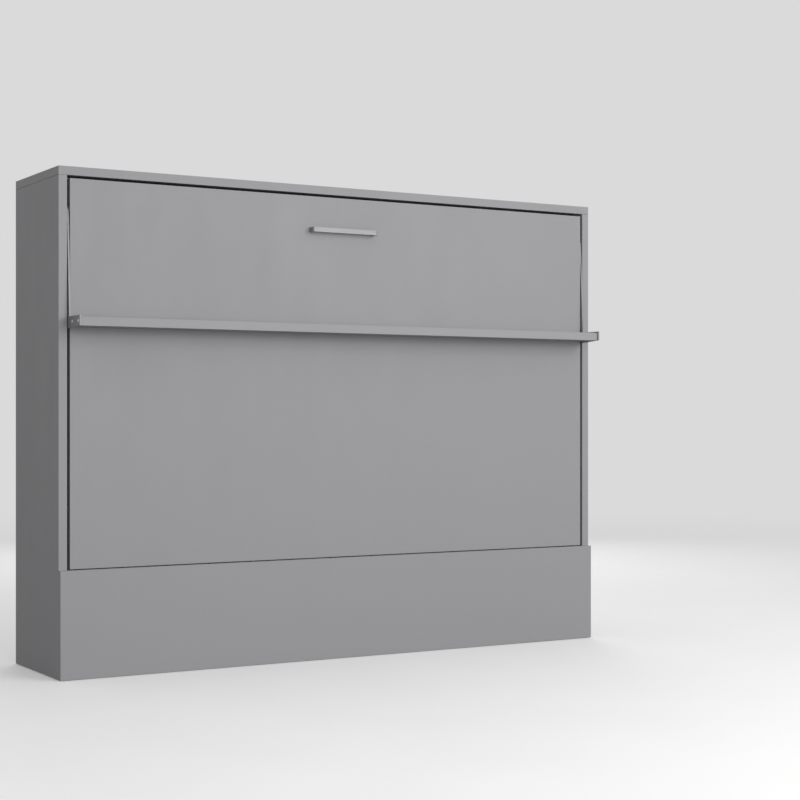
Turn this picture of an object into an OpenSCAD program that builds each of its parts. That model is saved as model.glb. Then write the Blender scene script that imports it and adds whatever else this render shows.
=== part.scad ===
// Horizontal wall bed: a cabinet whose front panel swings down with the bed behind it.
// The long shelf across the front stays level and becomes the bed's foot.
// Frame: X along the wall, Y into the wall, Z up. Heights are from the floor.

/* [Cabinet] */
// Length of the cabinet along the wall
body_w = 2110; // [1700:10:2400]
// Height of the cabinet
body_h = 1650; // [1560:10:1900]
// Depth of the cabinet without the shelf
body_d = 435; // [400:5:500]
// Thickness of the side panels and the top panel
board_t = 28; // [22:1:32]
// Thickness of the inner boards, rails and front panel
inner_t = 18; // [15:1:22]
// Height of the plinth panel
plinth_h = 352; // [300:1:380]
// Thickness of the plinth panel, which stands proud of the sides
plinth_t = 18; // [15:1:25]
// Height of the upper rail across the back
back_rail_h = 120; // [80:5:160]
// Height of the lower rail across the back
low_rail_h = 190; // [120:5:220]
// Height of the floor glides
glide_h = 2; // [1.5:0.5:6]
// Distance of the wall fixings from the middle
wall_x = 700; // [400:10:780]
// Diameter of the wall fixing holes
wall_hole_d = 8; // [6:0.5:10]

/* [Bed] */
// Gap around the front panel
panel_gap = 10; // [7:0.5:11]
// Depth of the bed box behind the front panel
box_d = 142; // [120:1:150]
// Thickness of the mattress
mattress_t = 160; // [120:5:170]
// Free width beside each end of the mattress
end_space = 33; // [33:1:40]
// Number of slats
slat_count = 13; // [9:1:15]
// Width of one slat
slat_w = 68; // [50:1:80]
// Thickness of one slat
slat_t = 8; // [6:0.5:12]
// Distance of the straps from the middle
strap_x = 500; // [300:10:700]
// Width of one strap
strap_w = 40; // [25:1:50]

/* [Hinge] */
// Distance of the bed's pivot behind the front
pivot_y = 122; // [115:1:130]
// Diameter of the pivot pins
pin_d = 16; // [12:1:20]
// Radial clearance of every turning or sliding fit
fit = 0.05; // [0.02:0.01:0.09]

/* [Leg] */
// Underside of the shelf board when the bed is closed
shelf_z = 1134; // [1050:1:1160]
// Distance from the cabinet front to the front of the leg plates
shelf_reach = 110; // [90:1:130]
// Thickness of the shelf board
shelf_t = 28; // [22:1:32]
// Depth of the leg pivots behind the front
leg_y = 24; // [23:1:28]
// Thickness of the steel leg plates
leg_t = 5; // [3:0.5:5.5]
// Width of the leg arms
arm_w = 36; // [30:1:44]
// Height of the foot of the leg plates
foot_h = 39; // [30:1:45]
// Drop of the leg plates below the back of the shelf board
foot_drop = 6; // [0:1:10]
// Diameter of the leg pivot bolts
leg_bolt_d = 8; // [6:1:8]

/* [Handle] */
// Length of the handle
handle_l = 258; // [160:1:320]
// Height of the handle bar
handle_h = 16; // [10:1:24]
// Distance the handle stands off the panel
handle_out = 29; // [24:1:40]
// Height of the handle's middle
handle_z = 1495; // [1300:5:1550]
// Sideways place of the handle's middle
handle_x = -21; // [-300:1:300]

/* [Gas struts] */
// Diameter of the strut tube
tube_d = 20; // [18:0.5:22]
// Diameter of the piston rod
rod_d = 10; // [8:0.5:12]
// Depth of the cabinet pivot of the struts
strut_y = 207; // [200:1:215]
// Height of the cabinet pivot of the struts above the bed pivot
strut_up = 353; // [340:1:370]
// Depth of the bed stud behind the front
stud_y = 194; // [190:1:200]
// Distance of the bed stud below the bed pivot
stud_down = 108; // [100:1:115]

/* [Hidden] */
$fn = 48;

laminate = "#8f8f92";
steel = "#6d6e72";
zinc = "#b9bbbd";
birch = "#d9bf94";
nylon = "#2b2b2d";

front_y = (shelf_reach - body_d) / 2;   // cabinet front in the part's frame
inner_x = body_w / 2 - board_t;         // inner face of a side panel
top_z = body_h - board_t;               // underside of the top panel
skin = 0.5;                             // space between soft and hard pieces

// Front panel and bed box
panel_x = inner_x - panel_gap;
open_gap = 3;                           // open bed's underside above the plinth
under_z = plinth_h + open_gap;
panel_top = top_z - panel_gap;
pivot_z = under_z + pivot_y;
box_y = inner_t;
box_back = box_y + box_d;
box_x = panel_x - 0.5;                  // outer face of a bed side
box_in = box_x - inner_t;               // inner face of a bed side
box_top = panel_top - 3.5;
back_clear = 8.6;                       // swinging corner to the wall
swing_r = body_d - pivot_y - back_clear;
tail = sqrt(pow(swing_r, 2) - pow(box_back - pivot_y, 2));
box_low = pivot_z - tail;

// Slats and mattress
beam_d = 30;
cap_wall = 2;
slat_y = box_y + beam_d + cap_wall;
cap_back = slat_y + slat_t + cap_wall;
mattress_y = cap_back + 2;
mattress_back = mattress_y + mattress_t;
mattress_x = inner_x - end_space;
mattress_gap = 5;                       // mattress edge to the rails
mattress_low = box_low + inner_t + mattress_gap;
mattress_top = box_top - inner_t - mattress_gap;
cap_l = 30;
slat_low = box_low + inner_t + 5;
slat_top = box_top - inner_t - 5;

// Cabinet joints
low_rail_z = 60;
low_rail_top = low_rail_z + low_rail_h;
base_rail = [60, 140];                  // bottom and top of the rail behind the plinth
dowel_d = 8;
dowel_in = 12;                          // dowel length in a side panel
dowel_out = 20;                         // dowel length in a rail
dowel_edge = 25;                        // dowel to the edge of a back rail
groove = 1;                             // shadow groove under the top panel
groove_d = 2.5;

// Steel plates on the cabinet sides
plate_t = 2.5;
plate_x = inner_x - plate_t;
screw_d = 4;
screw_l = 20;
screw_head_h = 2.5;
strut_pin_d = 8;
pad_t = 2.5;
bush_d = pin_d + 6;

// Leg
leg_low = shelf_z - foot_drop;          // underside of the leg plates, bed closed
leg_z = leg_low + under_z + leg_y;      // leg pivot above the floor, bed closed
leg_x = inner_x - (panel_gap - leg_t) / 2 - leg_t;
board_y = -shelf_reach + 6;             // front edge of the shelf board
bolt_ys = [-shelf_reach + 15, -shelf_reach + 69];
bolt_z = shelf_z + shelf_t / 2;
shelf_bolt_d = 6;
shelf_bolt_l = 30;
bolt_head_d = 13;
bolt_head_h = 1.6;
socket_d = 5.8;
csk = 2.5;                              // depth of the pivot bolts' countersunk heads
nut_d = 2 * (leg_y - inner_t) - 1;      // clears the front panel

// Gas struts
strut_x = inner_x - 14.5;
strut_a = [strut_y, pivot_z + strut_up];
strut_b = [stud_y, pivot_z - stud_down];
strut_b_open = [pivot_y + stud_down, pivot_z + stud_y - pivot_y];
strut_long = norm(strut_b - strut_a);
strut_short = norm(strut_b_open - strut_a);
strut_turn = atan2(strut_a.x - strut_b.x, strut_b.y - strut_a.y);
eye_r = 12;
tube_from = 20;
tube_to = strut_short - 34;
end_wall = 8;
rod_l = strut_short - tube_from - end_wall - 4;
stud_end = strut_x - rod_d / 2 - 0.5;

// Handle
handle_t = 6;
handle_r = 7;
handle_leg = 12;                        // length of each handle foot along the bar
handle_hole = (handle_l - handle_leg) / 2;
handle_bite = 16;                       // depth of the handle screws in the handle

// Straps
strap_t = 1.5;
buckle_t = 8;
buckle_h = 62;
buckle_z = (mattress_low + mattress_top) / 2;

// Places of the screws in each steel plate, as [y, z] from its middle
plate_screws = [for (y = [-20, 20], z = [-40, 40]) [y, z]];
bracket_screws = [for (z = [-24, 24]) [0, z]];
stop_y = box_back + 15;
stop_z = box_top - 100;
top_bracket_ys = [90, 330];

// Puts local depth, measured from the cabinet front, into the part's frame
module cabinet() {
    translate([0, front_y, 0]) children();
}

// One side or the other: right is +1, left is -1
module side(s) {
    cabinet() mirror([s < 0 ? 1 : 0, 0, 0]) children();
}

module both_sides() {
    for (s = [-1, 1]) side(s) children();
}

module box(x, y, z) {
    translate([x[0], y[0], z[0]]) cube([x[1] - x[0], y[1] - y[0], z[1] - z[0]]);
}

module rod_x(x, y, z, d) {
    translate([x[0], y, z]) rotate([0, 90, 0]) cylinder(h = x[1] - x[0], d = d);
}

module rod_y(x, y, z, d) {
    translate([x, y[0], z]) rotate([-90, 0, 0]) cylinder(h = y[1] - y[0], d = d);
}

// Countersunk screw along +X, its head flush with the plate's inner face
module plate_screw(slack = 0) {
    rotate([0, 90, 0])
        cylinder(h = screw_head_h, d1 = 2 * screw_d + 2 * slack, d2 = screw_d + 2 * slack);
    rotate([0, 90, 0]) cylinder(h = screw_l, d = screw_d + 2 * slack);
}

// All the screws that hold steel plates to one side panel
module side_screws(slack = 0) {
    for (p = plate_screws) translate([plate_x, pivot_y + p.x, pivot_z + p.y]) plate_screw(slack);
    for (p = bracket_screws) {
        translate([plate_x, strut_a.x + p.x, strut_a.y + p.y]) plate_screw(slack);
        translate([plate_x, stop_y + p.x + 12, stop_z + p.y]) plate_screw(slack);
    }
}

// Dowels that join one side panel to the rails, the top panel and the plinth
module side_dowels() {
    reach = [inner_x - dowel_out, inner_x + dowel_in];
    top_rail = [top_z - back_rail_h + dowel_edge, top_z - dowel_edge];
    low_rail = [low_rail_z + dowel_edge, low_rail_top - dowel_edge];
    for (z = concat(top_rail, low_rail)) rod_x(reach, body_d - inner_t / 2, z, dowel_d);
    for (z = [base_rail[0] + 15, base_rail[1] - 15]) rod_x(reach, inner_t / 2, z, dowel_d);
    for (y = [60, body_d / 2, body_d - 60])
        translate([inner_x + board_t / 2, y, top_z - dowel_out]) cylinder(h = 34, d = dowel_d);
    for (z = [35, plinth_h - 60])
        rod_y(inner_x + board_t / 2, [6 - plinth_t, 22], z, dowel_d);
}

// ---- Cabinet ----

module side_panel(s) {
    color(laminate) side(s) difference() {
        box([inner_x, body_w / 2], [0, body_d], [glide_h, top_z]);
        side_screws();
        side_dowels();
        box([inner_x - 1, body_w / 2 + 1], [-1, groove_d], [top_z - groove, top_z + 1]);
        box([body_w / 2 - groove_d, body_w / 2 + 1], [-1, body_d + 1], [top_z - groove, top_z + 1]);
    }
}
module side_panel_left() { side_panel(-1); }
module side_panel_right() { side_panel(1); }

module top_panel() {
    color(laminate) difference() {
        cabinet() box([-body_w / 2, body_w / 2], [0, body_d], [top_z, body_h]);
        both_sides() side_dowels();
    }
}

module plinth_panel() {
    color(laminate) difference() {
        cabinet() box([-body_w / 2, body_w / 2], [-plinth_t, 0], [glide_h, plinth_h]);
        both_sides() side_dowels();
    }
}

module back_rail(z) {
    color(laminate) difference() {
        cabinet() box([-inner_x, inner_x], [body_d - inner_t, body_d], z);
        both_sides() side_dowels();
        for (x = [-wall_x, wall_x]) cabinet()
            rod_y(x, [body_d - inner_t - 1, body_d + 1], (z[0] + z[1]) / 2, wall_hole_d);
    }
}
module back_rail_top() { back_rail([top_z - back_rail_h, top_z]); }
module back_rail_bottom() { back_rail([low_rail_z, low_rail_top]); }

module base_rail_front() {
    color(laminate) difference() {
        cabinet() box([-inner_x, inner_x], [0, inner_t], base_rail);
        both_sides() side_dowels();
    }
}

module floor_glides() {
    color(nylon) both_sides() for (y = [40, body_d - 40])
        translate([inner_x + board_t / 2, y, 0]) cylinder(h = glide_h, d = 24);
}

module cabinet_dowels() { color(birch) both_sides() side_dowels(); }

// Steel angles under the top panel, on the inner faces of the sides
module corner_brackets() {
    color(zinc) both_sides() for (y = top_bracket_ys) {
        box([inner_x - 2, inner_x], [y - 12, y + 12], [top_z - 8, top_z - 2]);
        box([inner_x - 40, inner_x], [y - 12, y + 12], [top_z - 2, top_z]);
    }
}

module hinge_plate(s) {
    color(steel) side(s) {
        difference() {
            box([plate_x, inner_x], [pivot_y - 32, pivot_y + 32], [pivot_z - 55, pivot_z + 55]);
            side_screws(fit);
        }
        rod_x([box_in + 1, plate_x], pivot_y, pivot_z, pin_d);
        rod_x([box_x + 2.5, plate_x], pivot_y, pivot_z, pin_d + 10);
    }
}
module hinge_plate_left() { hinge_plate(-1); }
module hinge_plate_right() { hinge_plate(1); }

module strut_bracket(s) {
    color(steel) side(s) {
        difference() {
            box([plate_x, inner_x], [strut_a.x - 16, strut_a.x + 16],
                [strut_a.y - 36, strut_a.y + 36]);
            side_screws(fit);
        }
        rod_x([strut_x - 7, plate_x], strut_a.x, strut_a.y, strut_pin_d);
    }
}
module strut_bracket_left() { strut_bracket(-1); }
module strut_bracket_right() { strut_bracket(1); }

// Angle that the bed side closes against
module stop_bracket(s) {
    color(steel) side(s) difference() {
        union() {
            box([plate_x, inner_x], [stop_y - 12, stop_y + 28], [stop_z - 36, stop_z + 36]);
            box([box_in + 2, plate_x], [stop_y - 12, stop_y - 9], [stop_z - 20, stop_z + 20]);
        }
        side_screws(fit);
    }
}
module stop_bracket_left() { stop_bracket(-1); }
module stop_bracket_right() { stop_bracket(1); }

module stop_pads() {
    color(nylon) both_sides() box([box_in + 4, box_x - 2],
        [stop_y - 12 - pad_t, stop_y - 12], [stop_z - 16, stop_z + 16]);
}

module cabinet_screws() { color(zinc) both_sides() side_screws(); }

// ---- Bed ----

// Dowels inside the bed box, on one side
module box_dowels() {
    mid = (box_x + box_in) / 2;
    for (z = [box_low + inner_t / 2, box_top - inner_t / 2], y = [box_y + 50, box_back - 30])
        rod_x([box_in - 24, box_in + 12], y, z, dowel_d);
    for (z = [under_z + 60, (under_z + panel_top) / 2, panel_top - 160])
        rod_y(mid, [box_y - 10, box_y + 20], z, dowel_d);
    for (x = [box_in / 4, box_in * 3 / 4])
        rod_y(x, [box_y - 10, box_y + 20], box_top - inner_t / 2, dowel_d);
}

module front_panel() {
    color(laminate) difference() {
        cabinet() box([-panel_x, panel_x], [0, inner_t], [under_z, panel_top]);
        both_sides() box_dowels();
        for (x = [-handle_hole, handle_hole]) cabinet()
            rod_y(handle_x + x, [-1, inner_t + 1], handle_z, screw_d + 2 * fit);
    }
}

module bed_side(s) {
    color(laminate) side(s) difference() {
        box([box_in, box_x], [box_y, box_back], [box_low, box_top]);
        rod_x([box_in - 1, box_x + 1], pivot_y, pivot_z, bush_d);
        rod_x([box_in - 1, box_x + 1], leg_y, leg_z, leg_bolt_d);
        box_dowels();
        stud_plate_screws();
    }
}
module bed_side_left() { bed_side(-1); }
module bed_side_right() { bed_side(1); }

module bed_rail(z) {
    color(laminate) difference() {
        cabinet() box([-box_in, box_in], [box_y, box_back], z);
        both_sides() box_dowels();
    }
}
module bed_rail_top() { bed_rail([box_top - inner_t, box_top]); }
module bed_rail_bottom() { bed_rail([box_low, box_low + inner_t]); }

module beam(z, d) {
    color(birch) cabinet() box([-box_in, box_in], [box_y, box_y + d], z);
}
module slat_ledge_top() { beam([box_top - inner_t - beam_d, box_top - inner_t], beam_d); }
module slat_ledge_bottom() { beam([box_low + inner_t, box_low + inner_t + beam_d], beam_d); }
module centre_beam() {
    middle = (box_low + box_top) / 2;
    beam([middle - 20, middle + 20], beam_d + cap_wall);
}

// Middle of slat number i
function slat_x(i) = (i - (slat_count - 1) / 2) * (2 * box_in - slat_w - 50) / (slat_count - 1);

module slats() {
    color(birch) cabinet() for (i = [0 : slat_count - 1])
        box([slat_x(i) - slat_w / 2, slat_x(i) + slat_w / 2],
            [slat_y, slat_y + slat_t], [slat_low, slat_top]);
}

module slat_cap(x, z) {
    difference() {
        box([x - slat_w / 2 - cap_wall, x + slat_w / 2 + cap_wall],
            [slat_y - cap_wall, cap_back], z);
        box([x - slat_w / 2, x + slat_w / 2], [slat_y, slat_y + slat_t],
            [slat_low, slat_top]);
    }
}
module slat_caps() {
    color(nylon) cabinet() for (i = [0 : slat_count - 1]) {
        slat_cap(slat_x(i), [slat_low - cap_wall, slat_low + cap_l]);
        slat_cap(slat_x(i), [slat_top - cap_l, slat_top + cap_wall]);
    }
}

module bed_dowels() { color(birch) both_sides() box_dowels(); }

module hinge_bush(s) {
    color(nylon) side(s) difference() {
        union() {
            rod_x([box_in, box_x], pivot_y, pivot_z, bush_d);
            rod_x([box_x, box_x + 2], pivot_y, pivot_z, bush_d + 8);
        }
        rod_x([box_in - 1, box_x + 3], pivot_y, pivot_z, pin_d + 2 * fit);
    }
}
module hinge_bush_left() { hinge_bush(-1); }
module hinge_bush_right() { hinge_bush(1); }

// Screws of the stud plate, from the inner face into the bed side
module stud_plate_screws(slack = 0) {
    for (y = [box_back - 28, box_back - 12], z = [-20, 20])
        translate([box_in - plate_t, y, strut_b.y + z]) rotate([0, 90, 0])
            cylinder(h = plate_t + 12, d = screw_d + 2 * slack);
}

module strut_stud(s) {
    color(steel) side(s) {
        difference() {
            box([box_in - plate_t, box_in], [box_back - 40, strut_b.x + 10],
                [strut_b.y - 28, strut_b.y + 28]);
            stud_plate_screws(fit);
        }
        rod_x([box_in, stud_end], strut_b.x, strut_b.y, rod_d);
    }
}
module strut_stud_left() { strut_stud(-1); }
module strut_stud_right() { strut_stud(1); }

module stud_screws() { color(zinc) both_sides() stud_plate_screws(); }

module mattress() {
    color("#e9e7e2") cabinet() box([-mattress_x, mattress_x],
        [mattress_y, mattress_back], [mattress_low, mattress_top]);
}

// Webbing band round the mattress, screwed to the rails behind its edges
module strap(s) {
    inner_low = mattress_low - skin;
    inner_top = mattress_top + skin;
    inner_back = mattress_back + skin;
    start_y = box_back - 60;
    color(nylon) side(s) difference() {
        box([strap_x - strap_w / 2, strap_x + strap_w / 2], [start_y, inner_back + strap_t],
            [inner_low - strap_t, inner_top + strap_t]);
        box([strap_x - strap_w, strap_x + strap_w], [start_y - 1, inner_back],
            [inner_low, inner_top]);
    }
}
module strap_left() { strap(-1); }
module strap_right() { strap(1); }

module strap_buckles() {
    back = mattress_back + skin + strap_t;
    color(nylon) both_sides() box([strap_x - strap_w / 2 - 5, strap_x + strap_w / 2 + 5],
        [back, back + buckle_t], [buckle_z - buckle_h / 2, buckle_z + buckle_h / 2]);
}

// Outline of a slab in front of the panel, with its two front corners round
module bow_outline(l, d, r) {
    translate([-l / 2 + r, -d]) square([l - 2 * r, d]);
    translate([-l / 2, -d + r]) square([l, d - r]);
    for (x = [-l / 2 + r, l / 2 - r]) translate([x, -d + r]) circle(r);
}

module handle() {
    inner_l = handle_l - 2 * handle_leg;
    color(zinc) cabinet() difference() {
        translate([handle_x, 0, handle_z - handle_h / 2]) linear_extrude(handle_h) difference() {
            bow_outline(handle_l, handle_out, handle_r);
            translate([0, 1]) bow_outline(inner_l, handle_out - handle_t + 1, handle_r - handle_t);
        }
        for (x = [-handle_hole, handle_hole])
            rod_y(handle_x + x, [-handle_bite, 1], handle_z, screw_d);
    }
}

module handle_screws() {
    color(zinc) cabinet() for (x = [-handle_hole, handle_hole]) {
        rod_y(handle_x + x, [-handle_bite, inner_t], handle_z, screw_d);
        rod_y(handle_x + x, [inner_t, inner_t + 2.5], handle_z, 2 * screw_d);
    }
}

// Countersunk pivot bolt of one leg arm, flush with the arm's outer face
module leg_bolt(s) {
    color(zinc) side(s) {
        rod_x([box_in - 6, leg_x + leg_t], leg_y, leg_z, leg_bolt_d);
        translate([leg_x + leg_t - csk, leg_y, leg_z]) rotate([0, 90, 0])
            cylinder(h = csk, d1 = leg_bolt_d, d2 = leg_bolt_d + 2 * csk);
        rod_x([box_in - 6, box_in], leg_y, leg_z, nut_d);
    }
}
module leg_bolt_left() { leg_bolt(-1); }
module leg_bolt_right() { leg_bolt(1); }

module leg_washers() {
    color(nylon) both_sides() difference() {
        rod_x([box_x, leg_x - 0.25], leg_y, leg_z, nut_d);
        rod_x([box_x - 1, leg_x + 1], leg_y, leg_z, leg_bolt_d);
    }
}

// ---- Leg ----

module shelf_board() {
    color(laminate) difference() {
        cabinet() box([-leg_x, leg_x], [board_y, -2], [shelf_z, shelf_z + shelf_t]);
        both_sides() leg_bolts_at();
    }
}

// Bolts from the outer face of a leg plate into the end of the shelf board
module leg_bolts_at() {
    for (y = bolt_ys) rod_x([leg_x - shelf_bolt_l, leg_x + leg_t + 0.1], y, bolt_z, shelf_bolt_d);
}

// Outline of a leg plate: a foot that rises to the front, and an arm that leans forward
module leg_outline() {
    low = [leg_y - 21, leg_low + arm_w / 2];
    lean = [low.x - leg_y, low.y - leg_z] / norm([low.x - leg_y, low.y - leg_z]);
    across = [lean.y, -lean.x] * arm_w / 2;
    top = [leg_y, leg_z];
    polygon([top - across, top + across, low + across, low - across]);
    translate(top) circle(d = arm_w);
    polygon([[-shelf_reach, shelf_z], [low.x - arm_w / 2, leg_low], [low.x + arm_w / 2, leg_low],
        [low.x + arm_w / 2, leg_low + foot_h], [-shelf_reach, leg_low + foot_h]]);
}

module leg_plate(s) {
    color(steel) side(s) difference() {
        translate([leg_x, 0, 0]) rotate([90, 0, 90]) linear_extrude(leg_t) leg_outline();
        leg_bolts_at();
        rod_x([leg_x - 1, leg_x + leg_t + 1], leg_y, leg_z, leg_bolt_d + 2 * fit);
        translate([leg_x + leg_t - csk, leg_y, leg_z]) rotate([0, 90, 0])
            cylinder(h = csk + 1, d1 = leg_bolt_d + 4 * fit, d2 = leg_bolt_d + 2 * csk + 2 + 4 * fit);
    }
}
module leg_plate_left() { leg_plate(-1); }
module leg_plate_right() { leg_plate(1); }

module shelf_bolts() {
    color(zinc) both_sides() for (y = bolt_ys) {
        rod_x([leg_x - shelf_bolt_l, leg_x + leg_t], y, bolt_z, shelf_bolt_d);
        translate([leg_x + leg_t, y, bolt_z]) rotate([0, 90, 0]) difference() {
            cylinder(h = bolt_head_h, d1 = bolt_head_d, d2 = bolt_head_d - 5);
            translate([0, 0, 0.3]) cylinder(h = bolt_head_h, d = socket_d, $fn = 6);
        }
    }
}

// ---- Gas struts ----

// Frame of one strut: origin at its cabinet pivot, +Z along the rod
module strut_frame(s) {
    side(s) translate([strut_x, strut_a.x, strut_a.y]) rotate([strut_turn, 0, 0]) children();
}

module strut_tube(s) {
    color(nylon) strut_frame(s) difference() {
        union() {
            rod_x([-5, 5], 0, 0, 20);
            cylinder(h = tube_from + 1, d = 9);
            translate([0, 0, tube_from]) cylinder(h = tube_to - tube_from, d = tube_d);
        }
        rod_x([-6, 6], 0, 0, strut_pin_d + 2 * fit);
        translate([0, 0, tube_from + end_wall])
            cylinder(h = tube_to - tube_from - end_wall - 12, d = tube_d - 4);
        translate([0, 0, tube_to - 13]) cylinder(h = 14, d = rod_d + 2 * fit);
    }
}
module strut_tube_left() { strut_tube(-1); }
module strut_tube_right() { strut_tube(1); }

module strut_rod(s) {
    piston = 10;
    color(zinc) strut_frame(s) {
        translate([0, 0, strut_long - rod_l]) cylinder(h = piston, d = tube_d - 4 - 2 * fit);
        difference() {
            union() {
                translate([0, 0, strut_long - rod_l]) cylinder(h = rod_l - eye_r + 3, d = rod_d);
                translate([0, 0, strut_long]) rod_x([-3.5, 3.5], 0, 0, 2 * eye_r);
            }
            translate([0, 0, strut_long]) rod_x([-9, 9], 0, 0, rod_d + 2 * fit);
        }
    }
}
module strut_rod_left() { strut_rod(-1); }
module strut_rod_right() { strut_rod(1); }

side_panel_left();
side_panel_right();
top_panel();
plinth_panel();
back_rail_top();
back_rail_bottom();
base_rail_front();
floor_glides();
cabinet_dowels();
corner_brackets();
hinge_plate_left();
hinge_plate_right();
strut_bracket_left();
strut_bracket_right();
stop_bracket_left();
stop_bracket_right();
stop_pads();
cabinet_screws();
front_panel();
bed_side_left();
bed_side_right();
bed_rail_top();
bed_rail_bottom();
slat_ledge_top();
slat_ledge_bottom();
centre_beam();
slats();
slat_caps();
bed_dowels();
hinge_bush_left();
hinge_bush_right();
strut_stud_left();
strut_stud_right();
stud_screws();
mattress();
strap_left();
strap_right();
strap_buckles();
handle();
handle_screws();
leg_bolt_left();
leg_bolt_right();
leg_washers();
shelf_board();
leg_plate_left();
leg_plate_right();
shelf_bolts();
strut_tube_left();
strut_rod_left();
strut_tube_right();
strut_rod_right();
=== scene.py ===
import math

import bpy
import numpy as np
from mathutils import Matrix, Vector


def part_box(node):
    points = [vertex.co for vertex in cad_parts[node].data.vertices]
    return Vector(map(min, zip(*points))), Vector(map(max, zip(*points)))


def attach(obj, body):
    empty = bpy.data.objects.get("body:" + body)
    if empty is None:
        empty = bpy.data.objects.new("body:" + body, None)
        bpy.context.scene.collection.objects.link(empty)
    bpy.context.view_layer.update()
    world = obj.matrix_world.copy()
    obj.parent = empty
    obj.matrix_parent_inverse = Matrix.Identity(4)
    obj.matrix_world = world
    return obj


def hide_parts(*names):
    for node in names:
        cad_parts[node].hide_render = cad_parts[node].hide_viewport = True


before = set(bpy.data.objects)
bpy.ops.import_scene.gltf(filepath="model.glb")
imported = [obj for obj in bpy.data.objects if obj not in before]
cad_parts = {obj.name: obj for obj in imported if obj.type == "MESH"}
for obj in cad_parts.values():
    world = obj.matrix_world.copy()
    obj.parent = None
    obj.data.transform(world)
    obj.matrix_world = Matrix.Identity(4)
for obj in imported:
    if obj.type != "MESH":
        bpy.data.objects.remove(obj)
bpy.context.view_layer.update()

MATTRESS_LOW, MATTRESS_HIGH = (np.array(corner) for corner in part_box("mattress"))
MATTRESS_MIDDLE = (MATTRESS_LOW + MATTRESS_HIGH) / 2
MM = 0.001
SIDES = ("left", "right")


# ---- Small mesh helpers ----

def add_object(name, data):
    """A new object in the scene, which holds a mesh, a light or a camera."""
    made = bpy.data.objects.new(name, data)
    bpy.context.scene.collection.objects.link(made)
    return made


def new_piece(name, verts, faces, smooth=True):
    """A mesh object in the row frame, from points and faces."""
    mesh = bpy.data.meshes.new(name)
    mesh.from_pydata([tuple(v) for v in verts], [], faces)
    mesh.update()
    mesh.polygons.foreach_set("use_smooth", [smooth] * len(mesh.polygons))
    return add_object(name, mesh)


def skin(rings, closed):
    """Faces between rings of points, which close into a loop or end in two caps."""
    sides = len(rings[0])
    spans = len(rings) if closed else len(rings) - 1
    faces = []
    for n in range(spans):
        here, ahead = n * sides, (n + 1) % len(rings) * sides
        for s in range(sides):
            t = (s + 1) % sides
            faces.append([here + s, here + t, ahead + t, ahead + s])
    if not closed:
        faces.append(list(range(sides))[::-1])
        faces.append([spans * sides + s for s in range(sides)])
    return faces


def quarter(centre, radius, start, steps=8):
    """Points along a quarter circle in a plane, from the angle start, in degrees."""
    turns = [math.radians(start + 90 * n / steps) for n in range(steps + 1)]
    return [(centre[0] + radius * math.cos(turn), centre[1] + radius * math.sin(turn))
            for turn in turns]


def bevel(piece, width, segments=2):
    """Small round edges, left as a modifier."""
    mod = piece.modifiers.new("edges", "BEVEL")
    mod.width = width
    mod.segments = segments
    mod.limit_method = "ANGLE"
    mod.angle_limit = math.radians(50)


def paint(piece, material):
    """Gives a piece one material in place of what it had."""
    piece.data.materials.clear()
    piece.data.materials.append(material)


def dress(piece, material, body):
    """Gives a new piece its material and its body."""
    paint(piece, material)
    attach(piece, body)


# ---- Node materials ----

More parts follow.
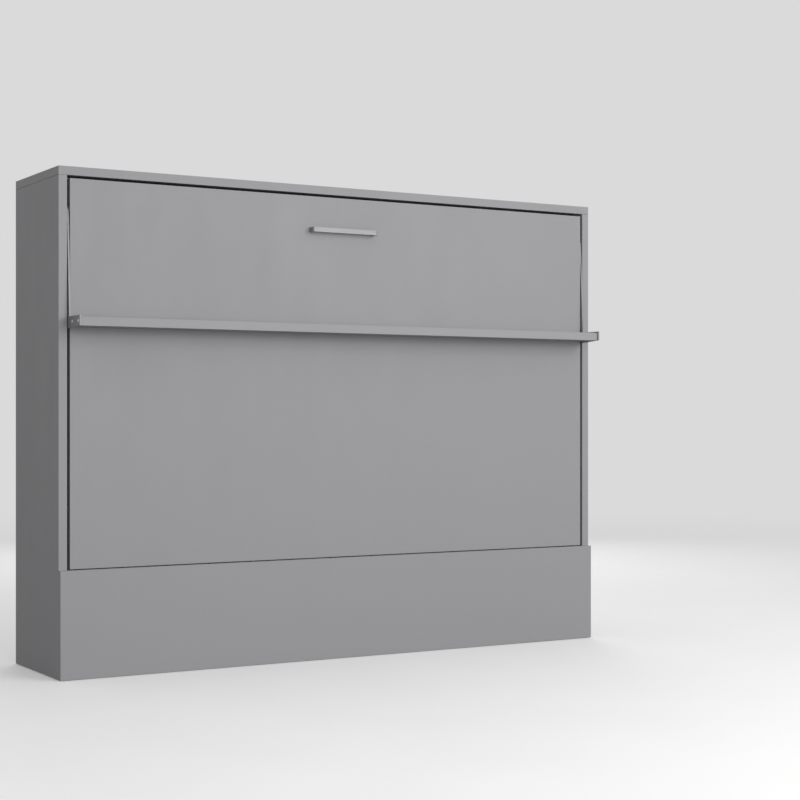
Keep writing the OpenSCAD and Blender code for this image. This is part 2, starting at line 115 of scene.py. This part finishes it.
class Nodes:
    """A node material with a Principled shader, built up by short calls."""

    def __init__(self, name, **sockets):
        self.material = bpy.data.materials.new(name)
        self.material.use_nodes = True
        self.tree = self.material.node_tree
        self.shader = self.tree.nodes["Principled BSDF"]
        for socket, value in sockets.items():
            self.shader.inputs[socket.replace("_", " ")].default_value = value
        self.place = self.tree.nodes.new("ShaderNodeTexCoord").outputs["Object"]

    def link(self, source, target):
        """Joins an output to an input."""
        self.tree.links.new(source, target)

    def node(self, kind, inputs=None, **settings):
        """A node of any kind, whose inputs are values or other nodes' outputs."""
        made = self.tree.nodes.new(kind)
        for key, value in settings.items():
            setattr(made, key, value)
        for socket, value in (inputs or {}).items():
            if isinstance(value, bpy.types.NodeSocket):
                self.link(value, made.inputs[socket])
            else:
                made.inputs[socket].default_value = value
        return made

    def scaled(self, x, y, z):
        """The place on the object, scaled along each axis."""
        made = self.node("ShaderNodeMapping", {"Vector": self.place, "Scale": (x, y, z)})
        return made.outputs[0]

    def noise(self, scale, detail, vector=None, roughness=0.5):
        """Soft noise, whose features are about 1 / scale metres across."""
        made = self.node("ShaderNodeTexNoise", {"Vector": vector or self.place, "Scale": scale,
                                                "Detail": detail, "Roughness": roughness})
        return made.outputs["Fac"]

    def streaks(self, across, along, axis, detail, roughness):
        """Noise drawn out along one axis, from its scales across the streaks and along them."""
        stretch = [across] * 3
        stretch[axis] = along
        return self.noise(1.0, detail, self.scaled(*stretch), roughness)

    def wave(self, spacing, vector=None, direction="X"):
        """Even bands. At scale 1 the node draws them pi / 10 apart."""
        made = self.node("ShaderNodeTexWave", {"Vector": vector or self.place,
                                               "Scale": math.pi / 10 / spacing},
                         wave_type="BANDS", bands_direction=direction)
        return made.outputs["Fac"]

    def ramp(self, value, to, of=(0.0, 1.0)):
        """Maps the range of onto the range to, and stays within it."""
        made = self.node("ShaderNodeMapRange", {"Value": value, "From Min": of[0], "From Max": of[1],
                                                "To Min": to[0], "To Max": to[1]})
        return made.outputs[0]

    def mix(self, factor, first, second):
        """A colour between two others."""
        made = self.node("ShaderNodeMix", {0: factor, 6: first, 7: second}, data_type="RGBA")
        return made.outputs[2]

    def maths(self, operation, first, second):
        """A sum, product or other operation on two values."""
        return self.node("ShaderNodeMath", {0: first, 1: second}, operation=operation).outputs[0]

    def bump(self, height, strength, distance):
        """Relief in the surface: a height of 1 stands out by about the distance."""
        made = self.node("ShaderNodeBump", {"Height": height, "Strength": strength,
                                            "Distance": distance})
        self.link(made.outputs[0], self.shader.inputs["Normal"])

    def colour(self, source):
        """Sets the surface's colour."""
        self.link(source, self.shader.inputs["Base Color"])

    def rough(self, source):
        """Sets the surface's roughness."""
        self.link(source, self.shader.inputs["Roughness"])


USUAL = (0.3, 0.7)      # the range that most of a noise's values fall in


def grey(level, warm=0.0):
    """A grey, which may lean to a warm or a cool tone."""
    return (level * (1 + warm), level, level * (1 - warm), 1.0)


def lilac(level):
    """The laminate's grey, which leans slightly to blue and red."""
    return (level * 1.01, level, level * 1.04, 1.0)


def laminate_material(name, level):
    """Matt grey melamine: a fine pearl texture, faint clouds and a few softer rub marks."""
    m = Nodes(name, Specular_IOR_Level=0.42)
    grain = m.noise(900.0, detail=2.0)
    clouds = m.noise(2.2, detail=4.0)
    rubs = m.noise(9.0, detail=5.0, vector=m.scaled(1.0, 1.0, 0.35), roughness=0.6)
    pearl = m.ramp(grain, to=(0.0, 1.0), of=(0.35, 0.65))
    tone = m.mix(pearl, lilac(level * 0.96), lilac(level * 1.04))
    m.colour(m.mix(m.ramp(clouds, to=(0.0, 0.3), of=USUAL), tone, lilac(level * 0.95)))
    m.rough(m.ramp(rubs, to=(0.50, 0.62), of=USUAL))
    m.bump(m.noise(1400.0, detail=3.0), strength=0.10, distance=0.4 * MM)
    return m.material


def powder_material(name, level):
    """Powder coat on steel: an even grey with a fine orange-peel skin."""
    m = Nodes(name)
    m.colour(m.mix(m.noise(30.0, detail=4.0), lilac(level * 0.92), lilac(level * 1.08)))
    m.rough(m.ramp(m.noise(120.0, detail=3.0), to=(0.38, 0.5)))
    m.bump(m.noise(700.0, detail=2.0), strength=0.25, distance=0.4 * MM)
    return m.material


def brushed_material(name, level, axis, roughness, metal):
    """Brushed metal under a satin lacquer: long fine scratches along one axis."""
    m = Nodes(name, Metallic=metal)
    scratches = m.streaks(900.0, 12.0, axis, detail=4.0, roughness=0.65)
    m.colour(m.mix(scratches, grey(level * 0.86), grey(level * 1.05)))
    m.rough(m.ramp(scratches, to=(roughness - 0.07, roughness + 0.1), of=USUAL))
    m.bump(scratches, strength=0.12, distance=0.3 * MM)
    return m.material


def plated_material(name, level, roughness):
    """Zinc plate or chrome with faint cloudy patches."""
    m = Nodes(name, Metallic=1.0)
    patches = m.noise(160.0, detail=3.0)
    m.colour(m.mix(patches, grey(level * 0.9, -0.01), grey(level * 1.05, 0.005)))
    m.rough(m.ramp(patches, to=(roughness * 0.75, roughness * 1.25), of=USUAL))
    m.bump(m.noise(500.0, detail=2.0), strength=0.06, distance=0.3 * MM)
    return m.material


def birch_material(name, axis):
    """Birch with long grain along one axis, pores and a satin varnish."""
    pale, dark = (0.66, 0.49, 0.30, 1.0), (0.46, 0.31, 0.16, 1.0)
    m = Nodes(name, Specular_IOR_Level=0.45)
    figure = m.streaks(26.0, 1.1, axis, detail=5.0, roughness=0.6)
    pores = m.streaks(420.0, 9.0, axis, detail=3.0, roughness=0.7)
    tone = m.mix(m.ramp(figure, to=(0.0, 1.0), of=(0.35, 0.68)), pale, dark)
    m.colour(m.mix(m.ramp(pores, to=(0.0, 0.5), of=(0.55, 0.72)), tone, dark))
    m.rough(m.ramp(pores, to=(0.42, 0.6), of=USUAL))
    m.bump(pores, strength=0.2, distance=0.4 * MM)
    return m.material


def nylon_material(name, level):
    """Black moulded nylon with a fine spark-eroded texture."""
    m = Nodes(name, Specular_IOR_Level=0.45)
    m.colour(m.mix(m.noise(60.0, detail=3.0), grey(level * 0.8), grey(level * 1.3)))
    m.rough(m.ramp(m.noise(350.0, detail=2.0), to=(0.42, 0.58), of=USUAL))
    m.bump(m.noise(1600.0, detail=2.0), strength=0.25, distance=0.3 * MM)
    return m.material


def enamel_material(name, level):
    """Satin black enamel under a thin clear coat."""
    m = Nodes(name, Coat_Weight=0.25, Coat_Roughness=0.2)
    m.colour(m.mix(m.noise(25.0, detail=3.0), grey(level * 0.8), grey(level * 1.5)))
    m.rough(m.ramp(m.noise(80.0, detail=3.0), to=(0.26, 0.38), of=USUAL))
    m.bump(m.noise(420.0, detail=2.0), strength=0.06, distance=0.3 * MM)
    return m.material


QUILT = 0.125           # size of the quilted diamonds
SEAM = 7 * MM           # how far the cover dips on each side of a seam
STITCH = 5 * MM         # spacing of the stitches
STITCH_GAP = 0.24       # share of that spacing with no thread showing
THREAD = 1.1 * MM       # width of the sewing thread


def quilting(m):
    """The quilting seams as (height beside a seam, where its thread shows)."""
    axes = m.node("ShaderNodeSeparateXYZ", {0: m.place}).outputs
    diagonals = []
    for sign in (1.0, -1.0):
        total = m.maths("ADD", axes["X"], m.maths("MULTIPLY", axes["Z"], sign))
        offset = float(MATTRESS_MIDDLE[0] + sign * MATTRESS_MIDDLE[2])
        diagonals.append(m.maths("DIVIDE", m.maths("SUBTRACT", total, offset), math.sqrt(2)))
    away = [m.maths("PINGPONG", value, QUILT / 2) for value in diagonals]
    height = m.ramp(m.maths("MINIMUM", away[0], away[1]), to=(0.0, 1.0), of=(0.0, SEAM))
    threads = []
    for line, along in ((away[0], diagonals[1]), (away[1], diagonals[0])):
        stitch = m.maths("GREATER_THAN", m.maths("PINGPONG", along, STITCH / 2),
                         STITCH_GAP * STITCH / 2)
        seam = m.ramp(line, to=(1.0, 0.0), of=(THREAD / 2, THREAD))
        threads.append(m.maths("MULTIPLY", seam, stitch))
    return height, m.maths("MAXIMUM", threads[0], threads[1])


def knit_material(name, level, thread, quilted=False):
    """Stretch-knit mattress cover: rows of small loops and a soft sheen."""
    m = Nodes(name, Specular_IOR_Level=0.2, Sheen_Weight=0.35, Sheen_Roughness=0.5)
    loop = math.pi / 2 * thread     # width and height of one loop
    rows = m.wave(loop, direction="Z")
    loops = m.wave(loop, direction="X")
    weave = m.maths("MULTIPLY", rows, loops)
    clean = (level, level * 0.985, level * 0.95, 1.0)
    soiled = (level * 0.93, level * 0.91, level * 0.86, 1.0)
    base = m.mix(m.ramp(m.noise(3.0, detail=4.0), to=(0.0, 0.4), of=USUAL), clean, soiled)
    # Painted shade: the colour darkens between the loops, where the weave is low.
    knit = m.mix(m.ramp(weave, to=(0.22, 0.0)), base, grey(level * 0.72, 0.02))
    m.rough(m.ramp(weave, to=(0.95, 0.82)))
    if not quilted:
        m.colour(knit)
        m.bump(weave, strength=0.5, distance=0.8 * MM)
        return m.material
    seams, stitches = quilting(m)
    m.colour(m.mix(stitches, knit, grey(level * 0.64, 0.02)))
    cover = m.maths("ADD", m.maths("MULTIPLY", weave, 0.16), seams)
    height = m.maths("SUBTRACT", cover, m.maths("MULTIPLY", stitches, 0.15))
    m.bump(height, strength=0.6, distance=2.5 * MM)
    return m.material


def webbing_material(name, along, level, thread):
    """Woven polyester: ribs across the strap and a slanting twill of fine threads."""
    m = Nodes(name, Specular_IOR_Level=0.3, Sheen_Weight=0.3)
    ribs = m.wave(math.pi / 2 * thread, direction=along)
    slant = m.wave(math.pi / 3 * thread, m.scaled(1.0, 0.0, 1.0), direction="DIAGONAL")
    height = m.maths("ADD", m.maths("MULTIPLY", ribs, 0.7), m.maths("MULTIPLY", slant, 0.3))
    # Painted shade and painted highlight: the colour is darker in the grooves and lighter on the
    # ribs, following the weave's height.
    m.colour(m.mix(height, grey(level * 0.5), grey(level * 1.6)))
    m.rough(m.ramp(height, to=(0.85, 0.65)))
    m.bump(height, strength=0.6, distance=0.8 * MM)
    return m.material


X_AXIS, Z_AXIS = 0, 2

LAMINATE = laminate_material("laminate_grey", 0.300)
LAMINATE_IN = laminate_material("laminate_inside", 0.300)
# The bed box's darker grey is painted shade: it darkens the gaps round the front panel, through which
# the bed box is seen.
LAMINATE_BED_PAINTED_SHADE = laminate_material("laminate_bed_box_painted_shade", 0.200)
# The shelf's slightly lighter grey is painted light: a brighter copy of the same laminate, so that
# its front stands out from the panel above it.
LAMINATE_SHELF_PAINTED_LIGHT = laminate_material("laminate_shelf_painted_light", 0.318)
PLATE = powder_material("plate_powder", 0.245)
LEG = brushed_material("leg_satin", 0.285, Z_AXIS, roughness=0.50, metal=0.45)
HANDLE = brushed_material("handle_brushed", 0.315, X_AXIS, roughness=0.50, metal=0.5)
ZINC = plated_material("zinc_plate", 0.72, roughness=0.30)
CHROME = plated_material("rod_chrome", 0.82, roughness=0.12)
WOOD_X = birch_material("birch_along_x", X_AXIS)
WOOD_Z = birch_material("birch_along_z", Z_AXIS)
NYLON = nylon_material("nylon_black", 0.028)
ENAMEL = enamel_material("tube_enamel", 0.018)
KNIT = knit_material("mattress_knit", 0.80, thread=2.4 * MM, quilted=True)
BORDER = knit_material("mattress_border", 0.62, thread=3.2 * MM)
PIPING = webbing_material("mattress_piping", "X", 0.30, thread=1.6 * MM)
WEBBING = webbing_material("strap_webbing", "Z", 0.03, thread=2.2 * MM)


# ---- The CAD nodes that stay visible ----

NODE_MATERIALS = {
    LAMINATE: ["side_panel_left", "side_panel_right", "top_panel", "plinth_panel",
               "front_panel"],
    LAMINATE_IN: ["back_rail_top", "back_rail_bottom", "base_rail_front"],
    LAMINATE_BED_PAINTED_SHADE: ["bed_side_left", "bed_side_right", "bed_rail_top", "bed_rail_bottom"],
    LAMINATE_SHELF_PAINTED_LIGHT: ["shelf_board"],
    PLATE: ["hinge_plate_left", "hinge_plate_right", "strut_bracket_left",
            "strut_bracket_right", "stop_bracket_left", "stop_bracket_right",
            "strut_stud_left", "strut_stud_right"],
    LEG: ["leg_plate_left", "leg_plate_right"],
    HANDLE: ["handle"],
    ZINC: ["corner_brackets", "cabinet_screws", "stud_screws", "handle_screws",
           "leg_bolt_left", "leg_bolt_right", "shelf_bolts"],
    CHROME: ["strut_rod_left", "strut_rod_right"],
    WOOD_X: ["slat_ledge_top", "slat_ledge_bottom", "centre_beam", "cabinet_dowels",
             "bed_dowels"],
    WOOD_Z: ["slats"],
    NYLON: ["floor_glides", "stop_pads", "slat_caps", "hinge_bush_left",
            "hinge_bush_right", "leg_washers"],
    ENAMEL: ["strut_tube_left", "strut_tube_right"],
}
BOARDS = (LAMINATE, LAMINATE_IN, LAMINATE_BED_PAINTED_SHADE, LAMINATE_SHELF_PAINTED_LIGHT, WOOD_X, WOOD_Z)
BOARD_EDGE = 1.2 * MM   # width of the round edges on boards
METAL_EDGE = 0.4 * MM   # and on all smaller parts
ROUND = (CHROME, ENAMEL)    # rods and tubes, which take no bevel


def dress_cad():
    """Materials and small round edges for every CAD node that stays visible."""
    for material, names in NODE_MATERIALS.items():
        for name in names:
            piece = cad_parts[name]
            paint(piece, material)
            if material not in ROUND and "dowels" not in name:
                bevel(piece, BOARD_EDGE if material in BOARDS else METAL_EDGE)


# ---- Mattress ----

EDGE_R = 26 * MM        # radius of the mattress edges
CELL = 12 * MM          # spacing of its points
SHRINK = 5 * MM         # how much smaller it starts, before it swells
CAP = 9 * MM            # the most that a point may move
FRAMES = 14             # length of the simulation that swells it
SINK = 6 * MM           # how far the seams are drawn in after the simulation
CROWN = 0.30 * QUILT    # distance from a seam where the cover is full height again
CLEAR = 0.2 * MM        # least distance from the cover to the CAD solid's faces


def mattress_points():
    """A rounded box as (points, faces), on an even grid."""
    low, high = MATTRESS_LOW + SHRINK, MATTRESS_HIGH - SHRINK
    counts = np.maximum(2, np.round((high - low) / CELL)).astype(int)
    index, verts, faces = {}, [], []

    def point(place):
        key = tuple(place)
        if key not in index:
            index[key] = len(verts)
            flat = low + (high - low) * place / counts
            core = np.clip(flat, low + EDGE_R, high - EDGE_R)
            out = flat - core
            length = np.linalg.norm(out)
            verts.append(core + out * (EDGE_R / length) if length > EDGE_R else flat)
        return index[key]

    for normal, first, second in ((1, 0, 2), (0, 2, 1), (2, 1, 0)):
        step_1, step_2 = np.eye(3, dtype=int)[[first, second]]
        cells = np.where(np.arange(3) == normal, 1, counts)
        for side in (0, counts[normal]):
            for cell in np.ndindex(*cells):
                corner = np.array(cell)
                corner[normal] = side
                quad = [point(corner), point(corner + step_1), point(corner + step_1 + step_2),
                        point(corner + step_2)]
                faces.append(quad if side == 0 else quad[::-1])
    return np.array(verts), faces


def fold(distance):
    """Distance to the nearest of even lines, QUILT apart."""
    return np.abs((distance / QUILT + 0.5) % 1.0 - 0.5) * QUILT


def seam_distance(verts):
    """How far each point is from the nearest quilting seam, on the two big faces."""
    x, z = verts[:, 0], verts[:, 2]
    rising = (x - MATTRESS_MIDDLE[0] + z - MATTRESS_MIDDLE[2]) / math.sqrt(2)
    falling = (x - MATTRESS_MIDDLE[0] - z + MATTRESS_MIDDLE[2]) / math.sqrt(2)
    return np.minimum(fold(rising), fold(falling))


def on_border(verts):
    """True for points on the narrow band round the mattress."""
    depth = np.minimum(verts[:, 1] - MATTRESS_LOW[1], MATTRESS_HIGH[1] - verts[:, 1])
    return depth > EDGE_R + SHRINK


def swell(piece, verts):
    """The points after a short cloth simulation, pinned on the seams and round the border."""
    round_middle = np.abs(verts[:, 1] - MATTRESS_MIDDLE[1]) < CELL * 0.6
    held = np.where(on_border(verts), round_middle, seam_distance(verts) < CELL * 0.5)
    pins = piece.vertex_groups.new(name="stitches")
    pins.add([int(i) for i in np.nonzero(held)[0]], 1.0, "REPLACE")
    cloth = piece.modifiers.new("cover", "CLOTH")
    cloth.settings.quality = 4
    cloth.settings.mass = 0.4
    cloth.settings.use_pressure = True
    cloth.settings.uniform_pressure_force = 4.0
    cloth.settings.vertex_group_mass = "stitches"
    cloth.settings.effector_weights.gravity = 0.0
    cloth.settings.tension_stiffness = 12.0
    cloth.settings.compression_stiffness = 8.0
    cloth.collision_settings.use_collision = False
    cloth.point_cache.frame_start = 1
    cloth.point_cache.frame_end = FRAMES
    scene = bpy.context.scene
    for n in range(1, FRAMES + 1):
        scene.frame_set(n)
    graph = bpy.context.evaluated_depsgraph_get()
    swollen = piece.evaluated_get(graph).to_mesh()
    moved = np.empty(len(swollen.vertices) * 3)
    swollen.vertices.foreach_get("co", moved)
    piece.modifiers.remove(cloth)
    scene.frame_set(1)
    step = moved.reshape(-1, 3) - verts
    length = np.maximum(np.linalg.norm(step, axis=1), 1e-9)
    return verts + step * np.minimum(1.0, CAP / length)[:, None]


def quilt_mattress():
    """The cover: swollen between its seams, drawn in at them, with a plainer border."""
    verts, faces = mattress_points()
    piece = new_piece("mattress_cover", verts, faces)
    border = on_border(verts)
    verts = swell(piece, verts)
    rise = np.sin(np.clip(seam_distance(verts) / CROWN, 0.0, 1.0) * math.pi / 2)
    sink = (1.0 - rise) * SINK * ~border
    verts[:, 1] += np.where(verts[:, 1] > MATTRESS_MIDDLE[1], -sink, sink)
    verts = np.clip(verts, MATTRESS_LOW + CLEAR, MATTRESS_HIGH - CLEAR)
    piece.data.vertices.foreach_set("co", verts.ravel())
    piece.data.update()
    finer = piece.modifiers.new("smooth", "SUBSURF")
    finer.levels = 1
    finer.render_levels = 1
    dress(piece, KNIT, "bed")
    piece.data.materials.append(BORDER)
    centres = np.array([face.center for face in piece.data.polygons])
    piece.data.polygons.foreach_set("material_index", on_border(centres).astype(int))
    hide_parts("mattress")


CORD_R = 3 * MM         # radius of the corded seams
CORD_INSET = 3.4 * MM   # how far their middle lies inside the mattress


def cord_rings(path, sides=10):
    """Circles round the points of a closed path that lies in one plane, across Y."""
    up = Vector((0, 1, 0))
    turns = [2 * math.pi * s / sides for s in range(sides)]
    rings = []
    for n, here in enumerate(path):
        ahead = (path[(n + 1) % len(path)] - path[n - 1]).normalized()
        out = ahead.cross(up).normalized()
        rings.append([here + (out * math.cos(turn) + up * math.sin(turn)) * CORD_R for turn in turns])
    return rings


def mattress_piping():
    """The two corded seams between the quilted faces and the border."""
    left, _, bottom = MATTRESS_LOW + CORD_INSET + EDGE_R
    right, _, top = MATTRESS_HIGH - CORD_INSET - EDGE_R
    front, back = MATTRESS_LOW[1] + EDGE_R, MATTRESS_HIGH[1] - EDGE_R
    corners = [(right, top), (left, top), (left, bottom), (right, bottom)]
    loop = [place for n, centre in enumerate(corners) for place in quarter(centre, EDGE_R, 90 * n)]
    for name, y in (("piping_front", front), ("piping_back", back)):
        rings = cord_rings([Vector((x, y, z)) for x, z in loop])
        piece = new_piece(name, sum(rings, []), skin(rings, closed=True))
        dress(piece, PIPING, "bed")


# ---- Straps and buckles ----

WEB_HALF = 0.75 * MM    # half the thickness of the webbing
STRAP_R = 30 * MM       # radius where it turns over the mattress edges
BOW = 0.4 * MM          # how far it is pulled in at the middle of the face
SPANS = 40              # steps along its run over the face

# Its section, with rolled edges, in shares of its half width and half thickness.
UPPER = [(-0.96, 1.0), (-0.9, 0.8), (0.0, 0.85), (0.9, 0.8), (0.96, 1.0)]
LOWER = [(across, -out) for across, out in reversed(UPPER)]
SECTION = [(-1, 0.0)] + UPPER + [(1, 0.0)] + LOWER


def strap_path(low, high):
    """Middle line of one strap, as (y, z): along the edge, over the face, and back."""
    front, face = low[1], high[1] - WEB_HALF
    bottom, top = low[2] + WEB_HALF, high[2] - WEB_HALF
    run = []
    for n in range(1, SPANS):
        share = n / SPANS
        z = bottom + STRAP_R + (top - bottom - 2 * STRAP_R) * share
        run.append((face - BOW * (1 - abs(2 * share - 1) ** 6), z))
    lower_turn = quarter((face - STRAP_R, bottom + STRAP_R), STRAP_R, -90)
    upper_turn = quarter((face - STRAP_R, top - STRAP_R), STRAP_R, 0)
    return [(front, bottom)] + lower_turn + run + upper_turn + [(front, top)]


def strap(side):
    """A webbing strap laid over the mattress."""
    low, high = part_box("strap_" + side)
    line = np.array(strap_path(low, high))
    ahead = np.gradient(line, axis=0)
    ahead /= np.linalg.norm(ahead, axis=1)[:, None]
    normals = np.stack([ahead[:, 1], -ahead[:, 0]], 1)
    half, middle = (high[0] - low[0]) / 2, (high[0] + low[0]) / 2
    rings = [[(middle + across * half, y + out * WEB_HALF * normal[0], z + out * WEB_HALF * normal[1])
              for across, out in SECTION] for (y, z), normal in zip(line, normals)]
    piece = new_piece("webbing_" + side, sum(rings, []), skin(rings, closed=False))
    dress(piece, WEBBING, "bed")
    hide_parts("strap_" + side)


WALL = 6 * MM           # width of a buckle's side walls
OVERHANG = 5 * MM       # how far a buckle stands out past the strap on each side
BUCKLE_EDGE = 1.2 * MM  # width of its round edges


def ladder(name, middle, size, bars):
    """A flat buckle frame, as one closed mesh: two side walls, and bars with slots between them."""
    half_x, half_y, half_z = (s / 2 for s in size)
    across = (-half_x, WALL - half_x, half_x - WALL, half_x)
    up = [edge for z, height in bars for edge in (z - height / 2, z + height / 2)]
    verts = [(middle[0] + x, middle[1] + y, middle[2] + z)
             for x in across for z in up for y in (-half_y, half_y)]

    def point(corner, back):
        return (corner[0] * len(up) + corner[1]) * 2 + back

    filled = [(i, k) for i in range(3) for k in range(len(up) - 1) if i != 1 or k % 2 == 0]
    faces = []
    for i, k in filled:
        ring = [(i, k), (i + 1, k), (i + 1, k + 1), (i, k + 1)]
        faces.append([point(corner, 0) for corner in ring])
        faces.append([point(corner, 1) for corner in reversed(ring)])
        beside = [(i, k - 1), (i + 1, k), (i, k + 1), (i - 1, k)]
        for n, cell in enumerate(beside):
            if cell not in filled:
                here, ahead = ring[n], ring[(n + 1) % 4]
                faces.append([point(here, 0), point(here, 1), point(ahead, 1), point(ahead, 0)])
    return new_piece(name, verts, faces, smooth=False)


def buckles():
    """Ladder-lock buckles on the two straps. One CAD node holds both."""
    low, high = (np.array(corner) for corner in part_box("strap_buckles"))
    width = high[0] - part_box("strap_right")[0][0] + OVERHANG
    size = (width, high[1] - low[1], high[2] - low[2])
    half = size[2] / 2
    # The middle and the height of each bar, from the lowest up.
    bars = [(4 * MM - half, 8 * MM), (-0.2 * half, 7 * MM), (0.3 * half, 7 * MM),
            (half - 6 * MM, 12 * MM)]
    for side in SIDES:
        strap_low, strap_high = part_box("strap_" + side)
        middle = ((strap_low[0] + strap_high[0]) / 2, (low[1] + high[1]) / 2, (low[2] + high[2]) / 2)
        piece = ladder("buckle_" + side, middle, size, bars)
        bevel(piece, BUCKLE_EDGE, segments=3)
        dress(piece, NYLON, "bed")
    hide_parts("strap_buckles")


# ---- Stage and lights ----

FLOOR_HALF = 50.0       # metres from the middle of the floor to its edges
FADE = (3.5, 9.0)       # distances over which the floor fades into the background
BACKDROP = grey(0.70)   # colour of the background that the camera sees
ROOM = grey(0.78)       # colour of the light from all round
ROOM_LIGHT = 0.72       # and its strength


def stage_material():
    """A pale floor that fades into the background, and throws little light back up."""
    m = Nodes("floor_pale", Specular_IOR_Level=0.3, Emission_Color=grey(1.0), Emission_Strength=0.12)
    m.colour(m.mix(m.noise(0.8, detail=4.0), grey(0.86, 0.002), grey(0.90, 0.002)))
    m.rough(m.ramp(m.noise(3.0, detail=4.0), to=(0.5, 0.62), of=USUAL))
    away = m.node("ShaderNodeVectorMath", {0: m.place}, operation="LENGTH").outputs["Value"]
    far = m.node("ShaderNodeEmission", {"Color": BACKDROP})
    fade = m.ramp(away, to=(0.0, 1.0), of=FADE)
    both = m.node("ShaderNodeMixShader", {0: fade, 1: m.shader.outputs[0], 2: far.outputs[0]})
    dull = m.node("ShaderNodeBsdfDiffuse", {"Color": grey(0.34)})
    seen = m.node("ShaderNodeLightPath").outputs["Is Camera Ray"]
    stage = m.node("ShaderNodeMixShader", {0: seen, 1: dull.outputs[0], 2: both.outputs[0]})
    m.link(stage.outputs[0], m.tree.nodes["Material Output"].inputs["Surface"])
    return m.material


def floor():
    """One large square on the ground."""
    corners = [(-FLOOR_HALF, -FLOOR_HALF, 0), (FLOOR_HALF, -FLOOR_HALF, 0),
               (FLOOR_HALF, FLOOR_HALF, 0), (-FLOOR_HALF, FLOOR_HALF, 0)]
    plane = new_piece("floor", corners, [[0, 1, 2, 3]], smooth=False)
    plane.data.materials.append(stage_material())


def area_light(name, place, aim, size, watts):
    """A rectangular lamp turned to a point. The camera doesn't see it."""
    data = bpy.data.lights.new(name, "AREA")
    data.shape = "RECTANGLE"
    data.size, data.size_y = size
    data.energy = watts
    lamp = add_object(name, data)
    lamp.location = place
    lamp.visible_camera = False
    lamp.rotation_euler = (Vector(aim) - Vector(place)).to_track_quat("-Z", "Y").to_euler()


def room():
    """Even light from all round, and a plain background where the camera looks past the floor."""
    world = bpy.data.worlds.new("studio")
    world.use_nodes = True
    tree = world.node_tree
    even = tree.nodes["Background"]
    even.inputs["Color"].default_value = ROOM
    even.inputs["Strength"].default_value = ROOM_LIGHT
    plain = tree.nodes.new("ShaderNodeBackground")
    plain.inputs["Color"].default_value = BACKDROP
    path = tree.nodes.new("ShaderNodeLightPath")
    mix = tree.nodes.new("ShaderNodeMixShader")
    tree.links.new(path.outputs["Is Camera Ray"], mix.inputs["Fac"])
    tree.links.new(even.outputs[0], mix.inputs[1])
    tree.links.new(plain.outputs[0], mix.inputs[2])
    tree.links.new(mix.outputs[0], tree.nodes["World Output"].inputs["Surface"])
    bpy.context.scene.world = world


def lights():
    """A soft key from the front right, a wide front fill, one behind, and an even room."""
    area_light("key", (2.2, -4.4, 2.6), aim=(0.2, -0.3, 0.8), size=(3.0, 2.4), watts=88)
    area_light("front", (-0.6, -6.5, 1.5), aim=(0.0, -0.3, 0.8), size=(5.0, 3.0), watts=150)
    area_light("rear", (2.4, 4.6, 2.0), aim=(0.2, 0.2, 0.8), size=(2.5, 2.0), watts=50)
    room()


# ---- Camera ----

EYE_HEIGHT = 0.843      # height of the eye above the floor
EYE_LEFT = 2.875        # how far the eye is to the left of the cabinet's middle
EYE_AWAY = 5.205        # and in front of the side panels
YAW = 30.7              # degrees that it looks to the right
LENS = 76.0             # focal length in millimetres
SENSOR = 36.0           # width of its film, in millimetres
SHIFT = 0.0218          # upward shift, as a share of the frame
FAR = 120.0             # metres that it sees, which takes in all of the floor


def camera():
    """A level camera at the eye's place, shifted up a little."""
    data = bpy.data.cameras.new("camera")
    data.sensor_width = SENSOR
    data.lens = LENS
    data.shift_y = SHIFT
    data.clip_end = FAR
    eye = add_object("camera", data)
    front_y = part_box("side_panel_left")[0][1]
    eye.location = (-EYE_LEFT, front_y - EYE_AWAY, EYE_HEIGHT)
    eye.rotation_euler = (math.radians(90), 0.0, math.radians(-YAW))
    bpy.context.scene.camera = eye


camera()
lights()
floor()
dress_cad()
quilt_mattress()
mattress_piping()
for side in SIDES:
    strap(side)
buckles()

bpy.context.scene.view_settings.view_transform = "Standard"
